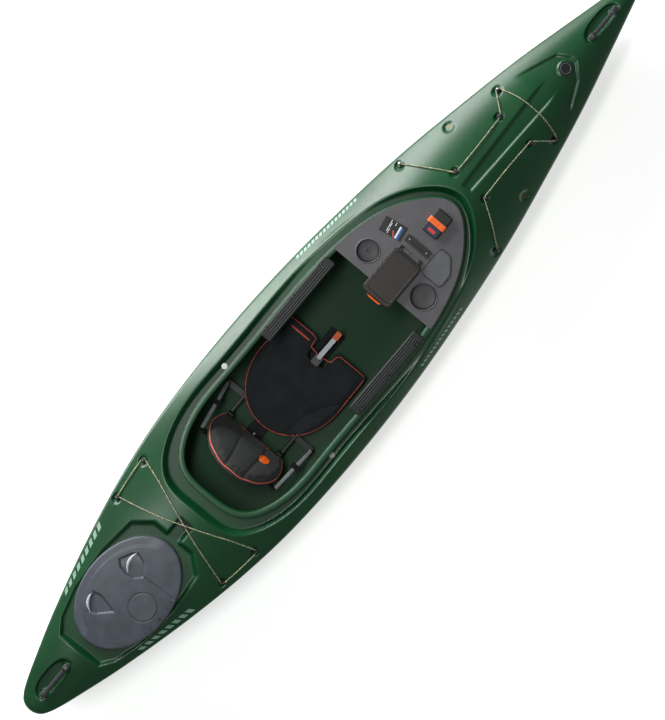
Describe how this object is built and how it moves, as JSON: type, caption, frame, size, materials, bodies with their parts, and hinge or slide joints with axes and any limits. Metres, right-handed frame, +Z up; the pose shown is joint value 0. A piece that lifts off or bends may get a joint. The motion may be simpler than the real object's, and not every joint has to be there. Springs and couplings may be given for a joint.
{
  "type": "kayak",
  "caption": "Sit-inside touring kayak with a moulded hull, large cockpit, sliding reclining seat, console with dry box, oval stern hatch, deck bungees and carry handles.",
  "frame": {"origin": "amidships on the centreline, level with the lowest line of the keel", "axes": "+X towards the bow, +Y to port, +Z up"},
  "size_m": [3.71, 0.71, 0.3637],
  "materials": {
    "green_polyethylene": "glossy, faint orange peel",
    "slate_plastic": "satin moulded",
    "grey_plastic": "satin moulded",
    "pale_grey_plastic": "satin moulded",
    "black_plastic": "fine texture",
    "brown_black_plastic": "fine texture",
    "orange_plastic": "satin moulded",
    "stainless_steel": "bright",
    "aluminium": "anodised",
    "brass": "plain",
    "seat_fabric": "black mesh with coral piping",
    "orange_webbing": "woven",
    "grey_webbing": "woven",
    "bungee_cord": "braided, flecked",
    "foam": "closed-cell",
    "rubber": "matt",
    "card": "printed"
  },
  "bodies": {
    "hull": {"accessory_inserts": "brass", "accessory_track": "black_plastic", "bow_badge": "slate_plastic", "bow_bungee": "bungee_cord", "bow_deck_hooks": "black_plastic", "bow_foam_pillar": "foam", "bow_handle": "slate_plastic", "coaming_bolts": "stainless_steel", "console": "grey_plastic", "console_card": "card", "deck_hook_screws": "stainless_steel", "dry_box": "brown_black_plastic", "dry_box_gasket": "rubber", "foot_rail_port": "aluminium", "foot_rail_screws": "stainless_steel", "foot_rail_starboard": "aluminium", "gear_block": "black_plastic", "gear_strap": "orange_webbing", "handle_screws": "stainless_steel", "hatch_gasket": "rubber", "hull": "green_polyethylene", "lid_hinge_pin": "stainless_steel", "rail_screws": "stainless_steel", "seat_rail": "aluminium", "stern_bulkhead": "foam", "stern_bungee": "bungee_cord", "stern_deck_hooks": "black_plastic", "stern_handle": "slate_plastic", "thigh_brace_bolts": "black_plastic", "thigh_brace_port": "slate_plastic", "thigh_brace_starboard": "slate_plastic", "track_screws": "stainless_steel"},
    "hatch_cover": {"hatch_cover": "slate_plastic", "hatch_badge": "slate_plastic"},
    "dry_box_lid": {"dry_box_lid": "brown_black_plastic", "latch_pin": "stainless_steel"},
    "dry_box_latch": {"dry_box_latch": "orange_plastic"},
    "tray_lid": {"tray_lid": "pale_grey_plastic"},
    "seat": {"seat_pan": "black_plastic", "seat_cushion": "seat_fabric", "seat_front_block": "grey_plastic", "trim_lever_pin": "stainless_steel", "recline_pins": "stainless_steel", "strap_port": "grey_webbing", "strap_starboard": "grey_webbing", "strap_buckles": "black_plastic"},
    "seat_back": {"seat_back_frame": "black_plastic", "seat_back_pad": "seat_fabric", "seat_back_badge": "orange_plastic"},
    "trim_lever": {"trim_lever": "aluminium", "trim_lever_grip": "orange_plastic"},
    "foot_pedal_port": {"foot_pedal_port": "black_plastic"},
    "foot_pedal_starboard": {"foot_pedal_starboard": "black_plastic"}
  },
  "joints": [
    {"name": "hatch_cover_lift", "type": "slide", "parent": "hull", "child": "hatch_cover", "axis": [0, 0, 1], "range_m": [0, 0.08]},
    {"name": "dry_box_lid_hinge", "type": "hinge", "parent": "hull", "child": "dry_box_lid", "pos_m": [0.44292, 0, 0.34017], "axis": [0, 1, 0], "range_deg": [0, 95]},
    {"name": "dry_box_latch_hinge", "type": "hinge", "parent": "dry_box_lid", "child": "dry_box_latch", "pos_m": [0.21885, 0, 0.31966], "axis": [0, 1, 0], "range_deg": [0, 70]},
    {"name": "tray_lid_lift", "type": "slide", "parent": "hull", "child": "tray_lid", "axis": [-0.0823, 0, 0.9966], "range_m": [0, 0.06]},
    {"name": "seat_slide", "type": "slide", "parent": "hull", "child": "seat", "axis": [1, 0, 0], "range_m": [-0.03, 0.06]},
    {"name": "seat_back_recline", "type": "hinge", "parent": "seat", "child": "seat_back", "pos_m": [-0.486, 0, 0.064], "axis": [0, 1, 0], "range_deg": [-6, 20], "deforming": ["strap_port", "strap_starboard"]},
    {"name": "trim_lever_hinge", "type": "hinge", "parent": "seat", "child": "trim_lever", "pos_m": [-0.098, 0, 0.066], "axis": [0, 1, 0], "range_deg": [-25, 10]},
    {"name": "foot_pedal_port_slide", "type": "slide", "parent": "hull", "child": "foot_pedal_port", "axis": [0.9906, -0.1364, 0], "range_m": [-0.12, 0.08]},
    {"name": "foot_pedal_starboard_slide", "type": "slide", "parent": "hull", "child": "foot_pedal_starboard", "axis": [0.9906, 0.1364, 0], "range_m": [-0.12, 0.08]}
  ]
}
